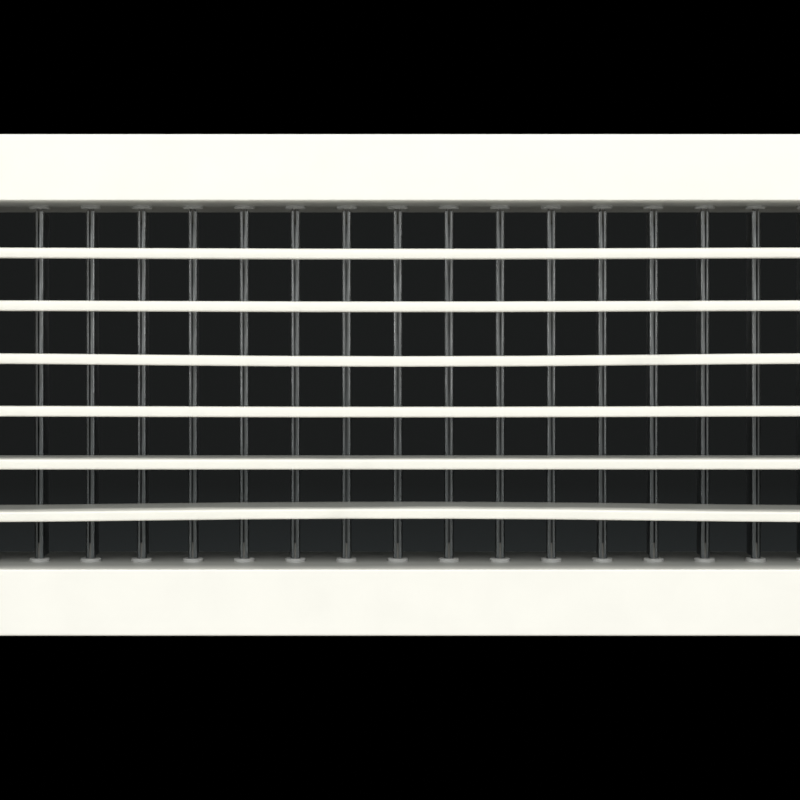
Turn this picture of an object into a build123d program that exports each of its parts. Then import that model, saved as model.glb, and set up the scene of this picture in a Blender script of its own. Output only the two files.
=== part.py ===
# Double deflection grille: a mitred frame with six level blades in front and nineteen upright
# blades behind them, each turning on nylon bushes by its nose.
#
# Millimetres. X runs along the width, +Z is up and the room is on the -Y side.
# The origin is the centre of the opening, on the plane of the wall that the flange closes against.

from build123d import *
import math
import os

os.makedirs("parts", exist_ok=True)

# The opening in the wall, and the frame that fits it
duct_width = 400.0
duct_height = 150.0
duct_clearance = 8.0       # the neck is this much smaller than the duct, both ways
wall = 1.6                 # neck wall
frame_depth = 58.0         # from the face to the neck's rear edge
flange = 25.0              # from the opening's edge to the flange's outer edge
flange_stand = 5.0         # from the face to the wall that the lip closes against
plate = 1.6                # face plate of the flange
lip = 1.4                  # outer lip that returns to the wall
face_round = 0.9           # front outer edge
mouth_round = 0.6          # front edge of the opening
rear_bevel = 0.4           # rear edge of the neck

# Corner keys and their channel behind the flange
key_width = 9.0
key_thick = 1.6
key_leg = 30.0
key_bevel = 1.2
key_play = 0.15
rib = 1.0
hook_reach = 1.4
hook_thick = 0.9

# Foam gasket between the channel and the lip
gasket_width = 4.6
gasket_butt = 0.2

# Fixing holes on the centre line of the end flanges
fixing_gap = 6.4           # from the end of a corner key to the hole's centre
screw_hole = 4.5
screw_head = 8.2           # diameter of the countersink at the face
dimple_rise = 1.0          # how far the pressed seat stands behind the plate
dimple_top = 6.6
dimple_foot = 8.6

# Nylon bushes: disc, shank through the wall, snap collar outside and stub pin inside
disc_diameter = 8.0
disc_thick = 1.2
disc_bevel = 0.3
shank_diameter = 5.0
hole_play = 0.1            # radial, shank in the wall
collar_diameter = 5.9
collar_thick = 0.8
collar_bevel = 0.35
pin_diameter = 2.3
pin_length = 6.0
pin_play = 0.05            # radial, pin in the blade's port

# Front blades, level
front_count = 6
front_margin = 19.4        # from the top or bottom wall to the nearest pivot
front_pivot_depth = 6.0    # behind the face
front_chord = 18.0
nose_height = 4.0
nose_reach = 2.2           # from the pivot to the nose
nose_crown = 0.3
nose_round = 0.9
shoulder = 1.4             # the section keeps its height this far behind the pivot
flank_crown = 0.2
front_tail = 1.0           # thickness at the tail
front_end_play = 0.3
front_tilts = {5: 6.5, 6: 9.0}    # how blades are set, tail up in degrees, numbered from the top
front_bows = {1: -0.5, 2: -0.5, 3: -1.2, 4: -0.4, 6: 1.4}    # rise of bent blades at mid length

# Rear blades, upright
rear_count = 19
rear_margin = 14.4         # from a side wall to the nearest pivot
rear_pivot_depth = 26.0    # behind the face
rear_chord = 18.0
head_diameter = 3.8
slot_width = 0.8           # mouth of the pin port, towards the room
web_thick = 1.2
rear_tail = 0.9
web_fillet = 0.8
rear_foot_play = 0.1       # each blade stands on its lower bush
rear_head_play = 1.0

# Worked out from the sizes above
neck_width = duct_width - duct_clearance
neck_height = duct_height - duct_clearance
opening_width = neck_width - 2 * wall
opening_height = neck_height - 2 * wall
face_y = -flange_stand
plate_back_y = face_y + plate
neck_rear_y = face_y + frame_depth
front_pivot_y = face_y + front_pivot_depth
rear_pivot_y = face_y + rear_pivot_depth
port_radius = pin_diameter / 2 + pin_play
flange_middle = flange / 2
channel_half = key_width / 2 + key_play
channel_depth = key_thick + key_play
fixing_inset = flange_middle - key_width / 2 + key_leg + fixing_gap
fixing_spacing = opening_height + 2 * (flange - fixing_inset)


def spread(count, span):
    """Places of a row of like pieces that fills a span about the middle."""
    return [(i / (count - 1) - 0.5) * span for i in range(count)]


def frame_section():
    """Section of the frame: outwards from the opening's edge, and back from the face."""
    inside, outside = flange_middle - channel_half, flange_middle + channel_half
    hook_low, hook_high = plate + channel_depth, plate + channel_depth + hook_thick
    points = [
        (0, 0), (flange, 0), (flange, flange_stand), (flange - lip, flange_stand),
        (flange - lip, plate), (outside + rib, plate), (outside + rib, hook_high),
        (outside - hook_reach, hook_high), (outside - hook_reach, hook_low),
        (outside, hook_low), (outside, plate), (inside, plate), (inside, hook_low),
        (inside + hook_reach, hook_low), (inside + hook_reach, hook_high),
        (inside - rib, hook_high), (inside - rib, plate), (wall, plate),
        (wall, frame_depth - rear_bevel), (wall - rear_bevel, frame_depth),
        (rear_bevel, frame_depth), (0, frame_depth - rear_bevel),
    ]
    section = make_face(Polyline(*points, close=True))
    corner = {(round(v.X, 3), round(v.Y, 3)): v for v in section.vertices()}
    section = fillet(corner[(round(flange, 3), 0.0)], face_round)
    corner = {(round(v.X, 3), round(v.Y, 3)): v for v in section.vertices()}
    return fillet(corner[(0.0, 0.0)], mouth_round)


def frame_bar(offset, half_run):
    """One mitred length, lying above the origin, its opening edge at the offset."""
    half_long = half_run + flange
    place = Plane(origin=(half_long, face_y, offset), x_dir=(0, 0, 1), z_dir=(-1, 0, 0))
    bar = extrude(place * frame_section(), amount=2 * half_long)
    miter = make_face(Polyline(
        (-half_long, offset + flange), (half_long, offset + flange),
        (half_run, offset), (-half_run, offset), close=True))
    cutter = extrude(Plane(origin=(0, neck_rear_y, 0), x_dir=(1, 0, 0), z_dir=(0, -1, 0)) * miter,
                     amount=frame_depth)
    return bar & cutter


def bush_holes(bar, offset, places, pivot_y):
    """Holes through the neck wall for a row of bushes."""
    radius = shank_diameter / 2 + hole_play
    for x in places:
        bar -= Pos(x, pivot_y, offset + wall / 2) * Cylinder(radius, 2 * wall)
    return bar


def fixing_seats(bar, offset):
    """Pressed countersinks on the flange's centre line, with their seats behind the plate."""
    hole, head = screw_hole / 2, screw_head / 2
    sink = head - hole
    for x in spread(2, fixing_spacing):
        at = Plane(origin=(x, face_y, offset + flange_middle), x_dir=(1, 0, 0), z_dir=(0, 1, 0))
        seat = Cone(dimple_foot / 2, dimple_top / 2, dimple_rise,
                    align=(Align.CENTER, Align.CENTER, Align.MIN))
        bar += at * Pos(0, 0, plate) * seat
        bar -= at * Cone(head, hole, sink, align=(Align.CENTER, Align.CENTER, Align.MIN))
        bar -= at * Cylinder(hole, plate + dimple_rise,
                             align=(Align.CENTER, Align.CENTER, Align.MIN))
    return bar


def corner_key(side_x, side_z):
    """L-shaped key that holds two mitred lengths together."""
    half = key_width / 2
    out_x = opening_width / 2 + flange_middle + half
    out_z = opening_height / 2 + flange_middle + half
    leg = [
        (out_x - key_leg, out_z - key_bevel), (out_x - key_leg + key_bevel, out_z),
        (out_x - key_bevel, out_z), (out_x, out_z - key_bevel),
        (out_x, out_z - key_leg + key_bevel), (out_x - key_bevel, out_z - key_leg),
        (out_x - key_width + key_bevel, out_z - key_leg),
        (out_x - key_width, out_z - key_leg + key_bevel), (out_x - key_width, out_z - key_width),
        (out_x - key_leg + key_bevel, out_z - key_width),
        (out_x - key_leg, out_z - key_width + key_bevel),
    ]
    outline = make_face(Polyline(*[(side_x * x, side_z * z) for x, z in leg], close=True))
    back = Plane(origin=(0, plate_back_y + key_thick, 0), x_dir=(1, 0, 0), z_dir=(0, -1, 0))
    return extrude(back * outline, amount=key_thick)


def gasket_strip(side, along):
    """Foam strip on the back of the flange. The end strips stand between the level ones."""
    outer_rib = flange_middle + channel_half + rib
    inner = (outer_rib + flange - lip - gasket_width) / 2
    thick = flange_stand - plate
    half_x, half_z = opening_width / 2 + inner, opening_height / 2 + inner
    if along == "x":
        size = (2 * (half_x + gasket_width), thick, gasket_width)
        centre = (0, plate_back_y + thick / 2, side * (half_z + gasket_width / 2))
    else:
        size = (gasket_width, thick, 2 * (half_z - gasket_butt))
        centre = (side * (half_x + gasket_width / 2), plate_back_y + thick / 2, 0)
    return Pos(*centre) * Box(*size)


def bush():
    """One bush on the Z axis, standing on the wall's inner face and looking up into the opening."""
    disc, shank, collar, pin = (d / 2 for d in
                                (disc_diameter, shank_diameter, collar_diameter, pin_diameter))
    low, top = -wall - collar_thick, disc_thick + pin_length
    profile = make_face(Polyline(
        (0, low), (collar - collar_bevel, low), (collar, low + collar_bevel), (collar, -wall),
        (shank, -wall), (shank, 0), (disc, 0), (disc, disc_thick - disc_bevel),
        (disc - disc_bevel, disc_thick), (pin, disc_thick), (pin, top), (0, top), close=True))
    return revolve(Plane.XZ * profile, axis=Axis.Z)


def front_section():
    """Aerofoil of the front blades: back from the pivot, and up."""
    half, tail = nose_height / 2, front_tail / 2
    nose, end = -nose_reach, front_chord - nose_reach
    slope = (half + tail) / 2 + flank_crown
    with BuildSketch() as sketch:
        with BuildLine():
            ThreePointArc((nose + nose_crown, -half), (nose, 0), (nose + nose_crown, half))
            Line((nose + nose_crown, half), (shoulder, half))
            ThreePointArc((shoulder, half), ((shoulder + end) / 2, slope), (end - tail, tail))
            ThreePointArc((end - tail, tail), (end, 0), (end - tail, -tail))
            ThreePointArc((end - tail, -tail), ((shoulder + end) / 2, -slope), (shoulder, -half))
            Line((shoulder, -half), (nose + nose_crown, -half))
        make_face()
        corners = sketch.vertices().filter_by(lambda v: abs(v.X - nose - nose_crown) < 0.001)
        fillet(corners, nose_round)
        Circle(port_radius, mode=Mode.SUBTRACT)
    return sketch.sketch


def rear_section():
    """Section of the rear blades: a slotted round head that holds the pin, and a thin web."""
    head, end = head_diameter / 2, rear_chord - head_diameter / 2
    root, tail = web_thick / 2, rear_tail / 2
    with BuildSketch() as sketch:
        Circle(head)
        with BuildLine():
            Polyline((0, -root), (end - tail, -tail))
            ThreePointArc((end - tail, -tail), (end, 0), (end - tail, tail))
            Polyline((end - tail, tail), (0, root), (0, -root))
        make_face()
        roots = sketch.vertices().filter_by(lambda v: head / 2 < v.X < head and abs(v.Y) > tail)
        fillet(roots, web_fillet)
        Circle(port_radius, mode=Mode.SUBTRACT)
        with Locations((-head, 0)):
            Rectangle(2 * head, slot_width, mode=Mode.SUBTRACT)
    return sketch.sketch


def bowed_path(length, bow):
    """Centre line of a blade that leaves its bushes level and rises to the bow at mid length."""
    if bow == 0:
        return Line((-length / 2, 0), (length / 2, 0))
    radius = (length**2 / 4 + bow**2) / (4 * abs(bow))
    turn = math.degrees(math.asin(length / (4 * radius)))
    sign = math.copysign(1, bow)
    first = JernArc((-length / 2, 0), (1, 0), radius, sign * turn)
    middle = JernArc(first @ 1, first % 1, radius, -2 * sign * turn)
    last = JernArc(middle @ 1, middle % 1, radius, sign * turn)
    return first + middle + last


def front_blade(number, z):
    """One level blade, on its pivot, with the tilt and bow that it stands at."""
    length = opening_width - 2 * (disc_thick + front_end_play)
    path = Plane.XZ * bowed_path(length, front_bows.get(number, 0.0))
    start = Plane(origin=(-length / 2, 0, 0), x_dir=(0, 1, 0), z_dir=(1, 0, 0))
    tilted = start * Rot(0, 0, front_tilts.get(number, 0.0)) * front_section()
    return Pos(0, front_pivot_y, z) * sweep(tilted, path=path)


def rear_blade(x):
    """One upright blade, standing on its lower bush."""
    foot = -opening_height / 2 + disc_thick + rear_foot_play
    length = opening_height - 2 * disc_thick - rear_foot_play - rear_head_play
    start = Plane(origin=(x, rear_pivot_y, foot), x_dir=(0, 1, 0), z_dir=(0, 0, 1))
    return extrude(start * rear_section(), amount=length)


def save(node, *solids):
    """Writes one node, a solid or a group of like solids."""
    shape = solids[0] if len(solids) == 1 else Compound(children=list(solids))
    shape.label = node
    export_step(shape, f"parts/{node}.step")
    print(node, len(shape.solids()), "solids", round(sum(s.volume for s in shape.solids()), 1))


front_places = spread(front_count, opening_height - 2 * front_margin)[::-1]
rear_places = spread(rear_count, opening_width - 2 * rear_margin)
half_width, half_height = opening_width / 2, opening_height / 2

# Frame: the level lengths carry the rear bushes, the end lengths carry the front ones
level_bar = bush_holes(frame_bar(half_height, half_width), half_height, rear_places, rear_pivot_y)
end_bar = bush_holes(frame_bar(half_width, half_height), half_width, front_places, front_pivot_y)
end_bar = fixing_seats(end_bar, half_width)
save("frame_top", level_bar)
save("frame_bottom", Rot(0, 180, 0) * level_bar)
save("frame_right", Rot(0, 90, 0) * end_bar)
save("frame_left", Rot(0, -90, 0) * end_bar)

for name_z, side_z in (("top", 1), ("bottom", -1)):
    for name_x, side_x in (("left", -1), ("right", 1)):
        save(f"corner_key_{name_z}_{name_x}", corner_key(side_x, side_z))

for name, side, along in (("top", 1, "x"), ("bottom", -1, "x"), ("left", -1, "z"), ("right", 1, "z")):
    save(f"gasket_{name}", gasket_strip(side, along))

# Bushes, one group for each wall
one_bush = bush()
save("front_bushes_left", *[
    Pos(-half_width, front_pivot_y, z) * Rot(0, 90, 0) * one_bush for z in front_places])
save("front_bushes_right", *[
    Pos(half_width, front_pivot_y, z) * Rot(0, -90, 0) * one_bush for z in front_places])
save("rear_bushes_top", *[
    Pos(x, rear_pivot_y, half_height) * Rot(180, 0, 0) * one_bush for x in rear_places])
save("rear_bushes_bottom", *[
    Pos(x, rear_pivot_y, -half_height) * one_bush for x in rear_places])

for number, z in enumerate(front_places, 1):
    save(f"front_blade_{number}", front_blade(number, z))

for number, x in enumerate(rear_places, 1):
    save(f"rear_blade_{number:02d}", rear_blade(x))
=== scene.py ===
# Double deflection grille: a white powder-coated frame with six level blades in front
# and nineteen upright ones behind, each turning on nylon bushes.
import bpy
import math
import numpy as np
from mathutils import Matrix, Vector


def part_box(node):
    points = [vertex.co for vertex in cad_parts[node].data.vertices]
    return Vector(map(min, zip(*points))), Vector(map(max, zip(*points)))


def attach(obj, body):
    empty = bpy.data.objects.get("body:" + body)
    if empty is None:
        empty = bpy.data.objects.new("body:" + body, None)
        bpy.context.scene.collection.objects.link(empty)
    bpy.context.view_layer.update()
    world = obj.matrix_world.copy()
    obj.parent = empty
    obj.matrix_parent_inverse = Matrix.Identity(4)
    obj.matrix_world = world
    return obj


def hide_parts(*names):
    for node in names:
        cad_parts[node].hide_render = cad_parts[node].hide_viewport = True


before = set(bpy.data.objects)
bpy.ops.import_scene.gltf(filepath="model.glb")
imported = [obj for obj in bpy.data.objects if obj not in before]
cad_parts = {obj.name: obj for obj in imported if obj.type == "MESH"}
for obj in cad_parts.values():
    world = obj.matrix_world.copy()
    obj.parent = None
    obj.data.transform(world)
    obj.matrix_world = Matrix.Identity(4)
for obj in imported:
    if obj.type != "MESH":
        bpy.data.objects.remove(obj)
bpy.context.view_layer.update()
mm = 0.001
print("frame loaded:", len(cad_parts), "nodes")

# Nodes of the real grille by what they are made of
frameNodes = ["frame_top", "frame_bottom", "frame_left", "frame_right"]
frontNodes = sorted(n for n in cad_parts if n.startswith("front_blade_"))
rearNodes = sorted(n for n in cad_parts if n.startswith("rear_blade_"))
bushNodes = ["front_bushes_left", "front_bushes_right", "rear_bushes_top", "rear_bushes_bottom"]
keyNodes = sorted(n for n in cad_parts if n.startswith("corner_key_"))
gasketNodes = sorted(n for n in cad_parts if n.startswith("gasket_"))

# Half sizes of the opening: the top length's mitred outline less the flange
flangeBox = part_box("frame_top")
flangeWidth = flangeBox[1][2] - flangeBox[0][2]
openHalfX = flangeBox[1][0] - flangeWidth
openHalfZ = flangeBox[1][2] - flangeWidth


def linearColour(text):
    # sRGB hex to linear red, green, blue and alpha
    parts = [int(text[i:i + 2], 16) / 255 for i in (1, 3, 5)]
    return [p / 12.92 if p <= 0.04045 else ((p + 0.055) / 1.055) ** 2.4 for p in parts] + [1.0]


def addNode(tree, kind, inputs=None, out=0, **settings):
    # inputs: socket name or number -> value, or the output socket to link from. Gives the output
    # that out names or numbers, or with None all of them. A Mix of colours has its factor at 0,
    # the colours at 6 and 7, and its result at 2
    node = tree.nodes.new("ShaderNode" + kind)
    for name, value in settings.items():
        setattr(node, name, value)
    for key, value in (inputs or {}).items():
        if isinstance(value, bpy.types.NodeSocket):
            tree.links.new(value, node.inputs[key])
        else:
            node.inputs[key].default_value = value
    return node.outputs if out is None else node.outputs[out]


def startMaterial(name):
    material = bpy.data.materials.new(name)
    material.use_nodes = True
    material.node_tree.nodes.clear()
    return material, material.node_tree


def finishMaterial(tree, inputs):
    shader = addNode(tree, "BsdfPrincipled", inputs)
    addNode(tree, "OutputMaterial", {"Surface": shader}, out=None)


noiseSpan = (0.3, 0.7)    # nearly all values of a noise texture lie between these

powderCoat = {
    # full: the coat's own tone. The next tone is painted shade in the recesses, inside the neck and
    # on the front blades' flanks behind the nose, and also the random clouds' tone; the darkest is
    # painted shade deep inside. The fades run from and to, in mm behind the wall plane
    "frame": {"full": "#f6f5ec", "thin": "#a9aaa4", "fade": (-3.6, 9.0), "paintedShadeTone": "#7d7f7a",
              "shadeFade": (18.0, 50.0), "roughness": (0.34, 0.44), "peel": 2.4},
    "front": {"full": "#f6f5ea", "thin": "#999a94", "fade": (-0.2, 4.0), "roughness": (0.34, 0.42),
              "peel": 2.2},
    "drift": (60.0, 1.5),    # mm between the film's slow changes, and how far they shift the fades
    "cloud": (20.0, 0.05),   # mm between its clouds, and how much of the darker tone they show
    "cloudEdge": (0.35, 0.7),    # the noise values at which a cloud starts and is full
    "fine": (0.7, 0.25),     # mm between the smallest bumps, and their height beside the peel's
    "sheen": 18.0,           # mm between patches of more and less gloss
    "peelHeight": 0.012,     # mm
    "wallMargin": 0.5,       # mm past the opening's edge that still take the inner wall's painted shade
    # The mitre's hairline, drawn wider than the real 0.1 mm so that it shows: its tone and how
    # much of it shows, mm across, and its depth in heights of the peel
    "seam": {"colour": "#6f6d68", "share": 0.75, "width": 0.35, "depth": 5.0},
}


def powderCoatMaterial(name, kind):
    # Baked polyester powder: soft sheen, faint orange peel, and painted shade that greys it in
    # recesses and deeper inside
    look = powderCoat[kind]
    material, tree = startMaterial(name)
    place = addNode(tree, "TexCoord", out="Object")
    axes = addNode(tree, "SeparateXYZ", {0: place}, out=None)
    between, shift = (size * mm for size in powderCoat["drift"])
    drift = addNode(tree, "TexNoise", {"Vector": place, "Scale": 1 / between, "Detail": 3.0})
    low, high = noiseSpan
    drift = addNode(tree, "MapRange", {"Value": drift, "From Min": low, "From Max": high,
                                       "To Min": -shift, "To Max": shift})
    depth = addNode(tree, "Math", {0: axes["Y"], 1: drift}, operation="ADD")
    # Painted shade: the coat darkens with depth behind the wall plane, inside the neck and on the
    # front blades behind the nose
    start, end = (limit * mm for limit in look["fade"])
    recessShade = addNode(tree, "MapRange", {"Value": depth, "From Min": start, "From Max": end})
    thin = linearColour(look["thin"])
    if kind == "frame":    # painted shade greys only the neck's inside, its outside keeps the full tone
        margin = powderCoat["wallMargin"] * mm
        beyond = []
        for axis, half in (("X", openHalfX), ("Z", openHalfZ)):
            away = addNode(tree, "Math", {0: axes[axis]}, operation="ABSOLUTE")
            within = addNode(tree, "Math", {0: away, 1: half + margin}, operation="LESS_THAN")
            recessShade = addNode(tree, "Math", {0: recessShade, 1: within}, operation="MULTIPLY")
            beyond.append(addNode(tree, "Math", {0: away, 1: half}, operation="SUBTRACT"))
        # Painted shade, darker still deep inside the neck
        start, end = (limit * mm for limit in look["shadeFade"])
        deepShade = addNode(tree, "MapRange", {"Value": depth, "From Min": start, "From Max": end})
        thin = addNode(tree, "Mix", {0: deepShade, 6: thin, 7: linearColour(look["paintedShadeTone"])}, out=2,
                       data_type="RGBA")
    between, share = powderCoat["cloud"]
    cloud = addNode(tree, "TexNoise", {"Vector": place, "Scale": 1 / (between * mm), "Detail": 3.0})
    start, end = powderCoat["cloudEdge"]
    cloud = addNode(tree, "MapRange", {"Value": cloud, "From Min": start, "From Max": end,
                                       "To Max": share})
    # Takes the larger of the painted shade and a random cloud of the same darker tone
    shadeAndCloud = addNode(tree, "Math", {0: recessShade, 1: cloud}, operation="MAXIMUM")
    colour = addNode(tree, "Mix", {0: shadeAndCloud, 6: linearColour(look["full"]), 7: thin}, out=2,
                     data_type="RGBA")
    peel = addNode(tree, "TexNoise", {"Vector": place, "Scale": 1 / (look["peel"] * mm),
                                      "Detail": 2.0, "Roughness": 0.45})
    between, share = powderCoat["fine"]
    fine = addNode(tree, "TexNoise", {"Vector": place, "Scale": 1 / (between * mm), "Detail": 1.0})
    height = addNode(tree, "Math", {0: fine, 1: share, 2: peel}, operation="MULTIPLY_ADD")
    if kind == "frame":    # the mitres, where both distances past the opening are the same
        seam = powderCoat["seam"]
        away = addNode(tree, "Math", {0: beyond[0], 1: beyond[1]}, operation="SUBTRACT")
        away = addNode(tree, "Math", {0: away}, operation="ABSOLUTE")
        width = seam["width"] * mm
        line = addNode(tree, "MapRange", {"Value": away, "From Min": width / 4, "From Max": width / 2,
                                          "To Min": seam["share"], "To Max": 0.0})
        colour = addNode(tree, "Mix", {0: line, 6: colour, 7: linearColour(seam["colour"])},
                         out=2, data_type="RGBA")
        height = addNode(tree, "Math", {0: line, 1: -seam["depth"], 2: height},
                         operation="MULTIPLY_ADD")
    sheen = addNode(tree, "TexNoise", {"Vector": place, "Scale": 1 / (powderCoat["sheen"] * mm),
                                       "Detail": 3.0})
    smooth, dull = look["roughness"]
    rough = addNode(tree, "MapRange", {"Value": sheen, "From Min": low, "From Max": high,
                                       "To Min": smooth, "To Max": dull})
    bump = addNode(tree, "Bump", {"Strength": 0.5, "Height": height,
                                  "Distance": powderCoat["peelHeight"] * mm})
    finishMaterial(tree, {"Base Color": colour, "Roughness": rough, "IOR": 1.5, "Normal": bump})
    return material


nylon = {
    "colour": "#a9aaa7", "waxy": "#999a96", "roughness": (0.42, 0.55),
    "cloud": 3.0, "satin": 1.5, "grain": 0.35,    # mm between the marks of each kind
    "cloudEdge": (0.35, 0.65),                    # noise at which a cloud starts and is full
    "waxShare": 0.5,                              # of the waxy tone, in a full cloud
    "grainHeight": 0.01,                          # mm
    "pinShadeTone": "#6d6c67", "disc": 1.3,             # the pins' painted shade, and mm from the wall to them
}


def nylonMaterial():
    # Moulded natural nylon: milky, a little light passes into it, satin from the mould
    material, tree = startMaterial("mouldedNylon")
    place = addNode(tree, "TexCoord", out="Object")
    cloud = addNode(tree, "TexNoise", {"Vector": place, "Scale": 1 / (nylon["cloud"] * mm),
                                       "Detail": 3.0})
    start, end = nylon["cloudEdge"]
    cloud = addNode(tree, "MapRange", {"Value": cloud, "From Min": start, "From Max": end,
                                       "To Max": nylon["waxShare"]})
    colour = addNode(tree, "Mix", {0: cloud, 6: linearColour(nylon["colour"]),
                                   7: linearColour(nylon["waxy"])}, out=2, data_type="RGBA")
    # Painted shade: the pins, past the discs, are darkened for the shadow beneath the discs
    axes = addNode(tree, "SeparateXYZ", {0: place}, out=None)
    pinShade = 1.0
    for axis, half in (("X", openHalfX), ("Z", openHalfZ)):
        away = addNode(tree, "Math", {0: axes[axis]}, operation="ABSOLUTE")
        inside = addNode(tree, "Math", {0: away, 1: half - nylon["disc"] * mm},
                         operation="LESS_THAN")
        pinShade = addNode(tree, "Math", {0: inside, 1: pinShade}, operation="MULTIPLY")
    colour = addNode(tree, "Mix", {0: pinShade, 6: colour, 7: linearColour(nylon["pinShadeTone"])}, out=2,
                     data_type="RGBA")
    satin = addNode(tree, "TexNoise", {"Vector": place, "Scale": 1 / (nylon["satin"] * mm)})
    (low, high), (smooth, dull) = noiseSpan, nylon["roughness"]
    rough = addNode(tree, "MapRange", {"Value": satin, "From Min": low, "From Max": high,
                                       "To Min": smooth, "To Max": dull})
    grain = addNode(tree, "TexNoise", {"Vector": place, "Scale": 1 / (nylon["grain"] * mm)})
    bump = addNode(tree, "Bump", {"Strength": 0.4, "Height": grain,
                                  "Distance": nylon["grainHeight"] * mm})
    finishMaterial(tree, {"Base Color": colour, "Roughness": rough, "IOR": 1.53,
                          "Subsurface Weight": 0.25, "Subsurface Radius": (1.0, 0.95, 0.85),
                          "Subsurface Scale": 0.8 * mm, "Normal": bump})
    return material


millAluminium = {
    # stretch: how often the pattern changes along each axis, so that a small number runs streaks
    # along it; line: mm between streaks; the fade of the painted shade: from and to, in mm above the
    # middle
    "keys": {"colour": "#c4c5c7", "dull": "#a5a6a8", "roughness": (0.28, 0.46),
             "stretch": (0.03, 1.0, 1.0), "line": 0.5},
    "rear": {"colour": "#999b9a", "dull": "#7b7d7c", "roughness": (0.30, 0.44),
             "stretch": (1.0, 1.0, 0.008), "line": 0.45,
             "paintedShadeTone": "#656868", "shadeFade": (22.0, -32.0)},
    "patch": 8.0,             # mm between duller patches
    "streakEdge": (0.4, 0.65), "patchEdge": (0.4, 0.7),    # noise at which each starts and is full
    "dullShare": 0.5,         # of the dull tone, in a full streak and again in a full patch
    "streakHeight": 0.01,     # mm
}


def millAluminiumMaterial(name, kind):
    # Bare aluminium as rolled or extruded: long streaks along its run, under a dull oxide skin
    look = millAluminium[kind]
    material, tree = startMaterial(name)
    place = addNode(tree, "TexCoord", out="Object")
    stretched = addNode(tree, "Mapping", {"Vector": place, "Scale": look["stretch"]})
    streak = addNode(tree, "TexNoise", {"Vector": stretched, "Scale": 1 / (look["line"] * mm),
                                        "Detail": 3.0, "Roughness": 0.6})
    start, end = millAluminium["streakEdge"]
    streaked = addNode(tree, "MapRange", {"Value": streak, "From Min": start, "From Max": end,
                                          "To Max": millAluminium["dullShare"]})
    patch = addNode(tree, "TexNoise", {"Vector": place, "Scale": 1 / (millAluminium["patch"] * mm),
                                       "Detail": 3.0})
    start, end = millAluminium["patchEdge"]
    patch = addNode(tree, "MapRange", {"Value": patch, "From Min": start, "From Max": end,
                                       "To Max": millAluminium["dullShare"]})
    tone = addNode(tree, "Math", {0: patch, 1: streaked}, operation="ADD")
    colour = addNode(tree, "Mix", {0: tone, 6: linearColour(look["colour"]),
                                   7: linearColour(look["dull"])}, out=2, data_type="RGBA")
    if "paintedShadeTone" in look:    # painted shade: an upright blade darkens towards the bottom
        height = addNode(tree, "SeparateXYZ", {0: place}, out="Z")
        start, end = (limit * mm for limit in look["shadeFade"])
        lowShade = addNode(tree, "MapRange", {"Value": height, "From Min": start, "From Max": end})
        colour = addNode(tree, "Mix", {0: lowShade, 6: colour, 7: linearColour(look["paintedShadeTone"])},
                         out=2, data_type="RGBA")
    (low, high), (smooth, dull) = noiseSpan, look["roughness"]
    rough = addNode(tree, "MapRange", {"Value": streak, "From Min": low, "From Max": high,
                                       "To Min": smooth, "To Max": dull})
    bump = addNode(tree, "Bump", {"Strength": 0.35, "Height": streak,
                                  "Distance": millAluminium["streakHeight"] * mm})
    finishMaterial(tree, {"Base Color": colour, "Metallic": 1.0, "Roughness": rough,
                          "Normal": bump})
    return material


foam = {
    "colour": "#2c2c2e", "cellShadeTone": "#161617", "roughness": 0.9,
    "cellSize": 0.9, "dent": 0.15,    # mm across a cell, and its depth
    "rim": (0.1, 0.55),               # cells from the middle at which the painted shade in a dent fades, from and to
}


def foamMaterial():
    # Closed-cell neoprene foam: dead matt, pocked with small cut cells, their dents darkened with
    # painted shade
    material, tree = startMaterial("neopreneFoam")
    place = addNode(tree, "TexCoord", out="Object")
    cells = addNode(tree, "TexVoronoi", {"Vector": place, "Scale": 1 / (foam["cellSize"] * mm)})
    start, end = foam["rim"]
    # Painted shade: darker towards each cell's middle, in its dent
    cellShade = addNode(tree, "MapRange", {"Value": cells, "From Min": start, "From Max": end,
                                        "To Min": 1.0, "To Max": 0.0})
    colour = addNode(tree, "Mix", {0: cellShade, 6: linearColour(foam["colour"]),
                                   7: linearColour(foam["cellShadeTone"])}, out=2, data_type="RGBA")
    bump = addNode(tree, "Bump", {"Strength": 0.6, "Distance": foam["dent"] * mm, "Height": cells})
    finishMaterial(tree, {"Base Color": colour, "Roughness": foam["roughness"], "IOR": 1.45,
                          "Normal": bump})
    return material


def dress(nodes, material):
    for name in nodes:
        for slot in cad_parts[name].material_slots:
            slot.material = material


dress(frameNodes, powderCoatMaterial("powderCoatFrame", "frame"))
dress(frontNodes, powderCoatMaterial("powderCoatFrontBlades", "front"))
dress(rearNodes, millAluminiumMaterial("extrudedAluminium", "rear"))
dress(bushNodes, nylonMaterial())
dress(keyNodes, millAluminiumMaterial("rolledAluminium", "keys"))
print("finishes set")

# Foam gasket strips, in place of the plain solids
strip = {
    "around": 28, "endRings": 5, "fewestRings": 8,    # points round the section, and rings along it
    "step": 1.5,                         # mm between rings
    "squareness": 5.0,                   # the power n of the section's rounded rectangle
    "sides": 0.8,                        # where the flat sides begin, as a share of the half size
    "endRound": 0.9, "endSize": 0.62,    # mm that an end takes to draw in, and how far it draws
    "wave": 0.09, "waveLength": 23.0,    # mm that the sides swell, and mm from swell to swell
    "ripples": ((1.0, 1.0), (2.3, 0.6), (4.1, 0.4)),    # how often each sine waves, and its share
}


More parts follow.
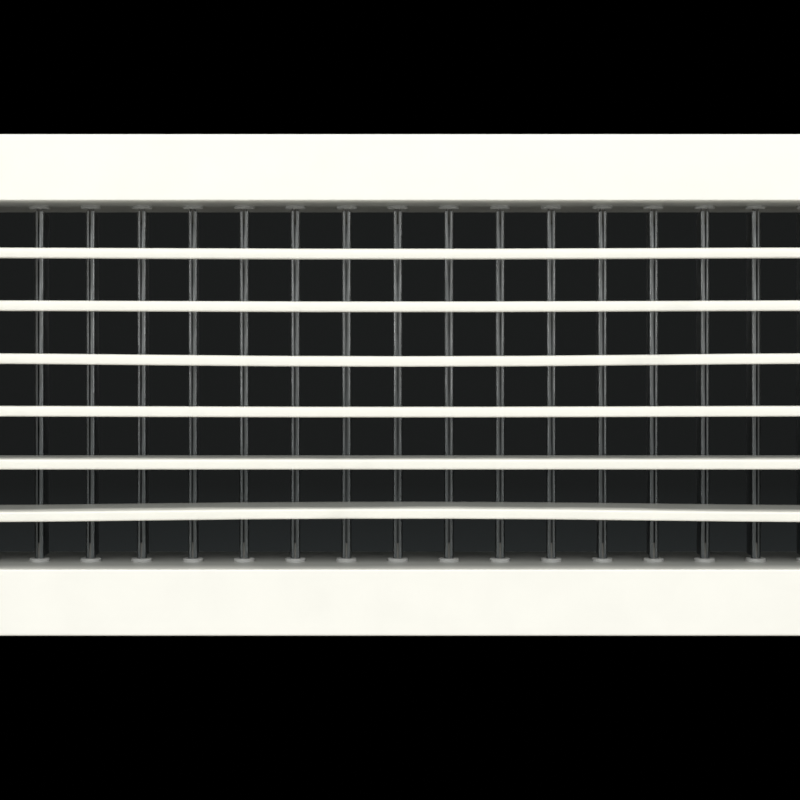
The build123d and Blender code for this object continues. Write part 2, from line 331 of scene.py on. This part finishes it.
def foamStrip(node, seed):
    # Point (u, v): u runs along the strip and v round its section, a rounded rectangle
    # |a|^n + |b|^n = 1 scaled to the half sizes. The sides swell and thin a little on a sum of
    # three sines of u, and the last rings draw in on a quarter ellipse to close the cut ends.
    low, high = (np.array(p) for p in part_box(node))
    size, centre = high - low, (high + low) / 2
    along = int(np.argmax(size))
    across = [i for i in range(3) if i != along]
    side, depth = across if size[across[0]] > size[across[1]] else across[::-1]
    length, draw, wave = size[along], strip["endRound"] * mm, strip["wave"] * mm
    rings = max(strip["fewestRings"], int(length / (strip["step"] * mm)))
    bend = np.linspace(0, math.pi / 2, strip["endRings"])
    ends = draw * (1 - np.cos(bend))
    u = np.concatenate([ends, np.linspace(draw, length - draw, rings)[1:-1], length - ends[::-1]])
    pull = np.concatenate([np.sin(bend), np.ones(rings - 2), np.sin(bend)[::-1]])
    pull = strip["endSize"] + (1 - strip["endSize"]) * pull[:, None]
    v = np.linspace(0, 2 * math.pi, strip["around"], endpoint=False)
    power = 2 / strip["squareness"]
    a = np.sign(np.cos(v)) * np.abs(np.cos(v)) ** power
    b = np.sign(np.sin(v)) * np.abs(np.sin(v)) ** power
    often, share = np.array(strip["ripples"]).T
    phase = np.random.default_rng(seed).uniform(0, 2 * math.pi, len(often))
    turn = 2 * math.pi * u[:, None] / (strip["waveLength"] * mm)
    sway = (share * np.sin(often * turn + phase)).sum(1, keepdims=True) / share.sum()
    swell = wave * sway * np.sign(a) * (np.abs(a) > strip["sides"])
    grid = np.zeros((len(u), len(v), 3))
    grid[..., along] = low[along] + u[:, None]
    grid[..., side] = centre[side] + pull * a * (size[side] / 2 - wave) + swell
    grid[..., depth] = centre[depth] + pull * b * size[depth] / 2
    index = np.arange(len(u) * len(v)).reshape(len(u), len(v))
    turned = np.roll(index, -1, 1)
    quads = np.stack([index[:-1], turned[:-1], turned[1:], index[1:]], -1)
    faces = quads.reshape(-1, 4).tolist() + [index[0][::-1].tolist(), index[-1].tolist()]
    mesh = bpy.data.meshes.new("foam_" + node)
    mesh.from_pydata(grid.reshape(-1, 3).tolist(), [], faces)
    if sum(f.center.dot(f.normal) * f.area for f in mesh.polygons) < 0:
        mesh.flip_normals()
    mesh.polygons.foreach_set("use_smooth", [True] * (len(faces) - 2) + [False] * 2)
    piece = bpy.data.objects.new("foam_" + node, mesh)
    bpy.context.collection.objects.link(piece)
    return piece


foamLook = foamMaterial()
for seed, node in enumerate(gasketNodes):
    piece = foamStrip(node, seed)
    piece.data.materials.append(foamLook)
    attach(piece, "frame")
    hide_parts(node)
print("foam strips made:", len(gasketNodes))

# Stage: a pale floor well below and a dark cloth far behind, in m
floor = {"height": -1.4, "size": 30.0, "colour": "#e6e2da", "glow": 0.45}
cloth = {"place": 2.3, "width": 6.0, "top": 3.0, "colour": "#000000",
         "litBand": "#2b2d2d", "centre": -0.05, "fade": (0.33, 0.42),    # band: painted light level with the opening; fade: m from the centre
         "foot": "#393d3e", "footFade": (-0.22, -0.34)}               # the painted light's paler foot
studio = {"seen": "#c9cbcd", "light": 0.03}    # what the camera sees of it, and its strength as light


def seenByCamera(tree):
    # 1 where the camera looks, straight, in metal or through something clear, and 0 for the light
    # that reaches matt surfaces
    path = addNode(tree, "LightPath", out=None)
    seen = path["Is Camera Ray"]
    for ray in ("Is Glossy Ray", "Is Transmission Ray"):
        seen = addNode(tree, "Math", {0: seen, 1: path[ray]}, operation="MAXIMUM")
    return seen


def floorMaterial():
    # Matt paper, that stays pale to the eye beyond the lamps' reach and keeps its shadows
    material, tree = startMaterial("paperFloor")
    glow = addNode(tree, "Math", {0: seenByCamera(tree), 1: floor["glow"]}, operation="MULTIPLY")
    colour = linearColour(floor["colour"])
    finishMaterial(tree, {"Base Color": colour, "Roughness": 0.9, "Specular IOR Level": 0.2,
                          "Emission Color": colour, "Emission Strength": glow})
    return material


def clothMaterial():
    # Black cloth, with one greyer width of painted light level with the opening, that fades out above
    # and below
    material, tree = startMaterial("darkCloth")
    place = addNode(tree, "TexCoord", out="Object")
    height = addNode(tree, "SeparateXYZ", {0: place}, out="Z")
    start, end = cloth["footFade"]
    foot = addNode(tree, "MapRange", {"Value": height, "From Min": start, "From Max": end})
    litBand = addNode(tree, "Mix", {0: foot, 6: linearColour(cloth["litBand"]),
                                 7: linearColour(cloth["foot"])}, out=2, data_type="RGBA")
    away = addNode(tree, "Math", {0: height, 1: cloth["centre"]}, operation="SUBTRACT")
    away = addNode(tree, "Math", {0: away}, operation="ABSOLUTE")
    start, end = cloth["fade"]
    fade = addNode(tree, "MapRange", {"Value": away, "From Min": start, "From Max": end})
    colour = addNode(tree, "Mix", {0: fade, 6: litBand, 7: linearColour(cloth["colour"])}, out=2,
                     data_type="RGBA")
    finishMaterial(tree, {"Base Color": colour, "Roughness": 1.0, "Specular IOR Level": 0.0})
    return material


def flatSheet(name, corners, material):
    mesh = bpy.data.meshes.new(name)
    mesh.from_pydata(corners, [], [(0, 1, 2, 3)])
    mesh.materials.append(material)
    sheet = bpy.data.objects.new(name, mesh)
    bpy.context.collection.objects.link(sheet)
    return sheet


half, low = floor["size"] / 2, floor["height"]
flatSheet("floor", [(-half, -half, low), (half, -half, low), (half, half, low), (-half, half, low)],
          floorMaterial())
half, far, top = cloth["width"] / 2, cloth["place"], cloth["top"]
backdrop = flatSheet("backdrop", [(-half, far, low), (half, far, low), (half, far, top),
                                  (-half, far, top)], clothMaterial())
backdrop.visible_shadow = False    # the beam from behind passes it

world = bpy.data.worlds.new("studio")
bpy.context.scene.world = world
world.use_nodes = True
tree = world.node_tree
tree.nodes.clear()
weak = addNode(tree, "Background", {"Color": (1, 1, 1, 1), "Strength": studio["light"]})
plain = addNode(tree, "Background", {"Color": linearColour(studio["seen"])})
both = addNode(tree, "MixShader", {0: seenByCamera(tree), 1: weak, 2: plain})
addNode(tree, "OutputWorld", {"Surface": both}, out=None)

# Soft boxes on an arc in front: degrees above level, distance, width and height in m, watts
softBoxes = {
    "mainBox": (28, 2.60, 2.4, 0.65, 45.5),
    "highBox": (44, 2.60, 2.4, 0.65, 24.5),
    "lowBox": (-35, 1.60, 1.5, 0.4, 6.2),
}
# Strips level with the neck light its outside and stay out of the opening: place, turn, size, watts
strips = {
    "topStrip": ((0.0, 0.0, 0.9), 0, (1.2, 0.12), 2.6),
    "leftStrip": ((-0.9, 0.0, 0.0), -90, (0.12, 0.6), 1.6),
    "rightStrip": ((0.9, 0.0, 0.0), 90, (0.12, 0.6), 1.6),
}
beam = {"power": 0.6, "spread": 6.0}    # watts a square metre, and degrees across


def areaLamp(name, size, power, place, turn):
    data = bpy.data.lights.new(name, "AREA")
    data.shape, data.size, data.size_y = "RECTANGLE", *size
    data.energy = power
    lamp = bpy.data.objects.new(name, data)
    lamp.location, lamp.rotation_euler = place, [math.radians(t) for t in turn]
    lamp.visible_camera = False
    bpy.context.collection.objects.link(lamp)


for name, (rise, away, across, up, power) in softBoxes.items():
    angle = math.radians(rise)
    areaLamp(name, (across, up), power, (0.0, -away * math.cos(angle), away * math.sin(angle)),
             (90 - rise, 0, 0))
for name, (place, turn, size, power) in strips.items():
    areaLamp(name, size, power, place, (0, turn, 0))

# A level beam from straight behind lights only what faces the rear
data = bpy.data.lights.new("rearBeam", "SUN")
data.energy, data.angle, data.specular_factor = beam["power"], math.radians(beam["spread"]), 0.0
lamp = bpy.data.objects.new("rearBeam", data)
lamp.rotation_euler = (math.radians(-90), 0, 0)
lamp.visible_glossy = False
bpy.context.collection.objects.link(lamp)
print("stage and lamps set")

# Place in m, lens and sensor in mm, and the shift as a share of the picture
camera = {"place": (0.0009, -0.655, 0.0139), "lens": 77.8, "sensor": 36.0, "shiftUp": -0.065,
          "clip": (0.01, 30.0)}
data = bpy.data.cameras.new("camera")
data.lens, data.sensor_width, data.shift_y = camera["lens"], camera["sensor"], camera["shiftUp"]
data.clip_start, data.clip_end = camera["clip"]
view = bpy.data.objects.new("camera", data)
view.location, view.rotation_euler = camera["place"], (math.radians(90), 0, 0)
bpy.context.collection.objects.link(view)
bpy.context.scene.camera = view
bpy.context.scene.view_settings.view_transform = "Standard"
print("camera set")
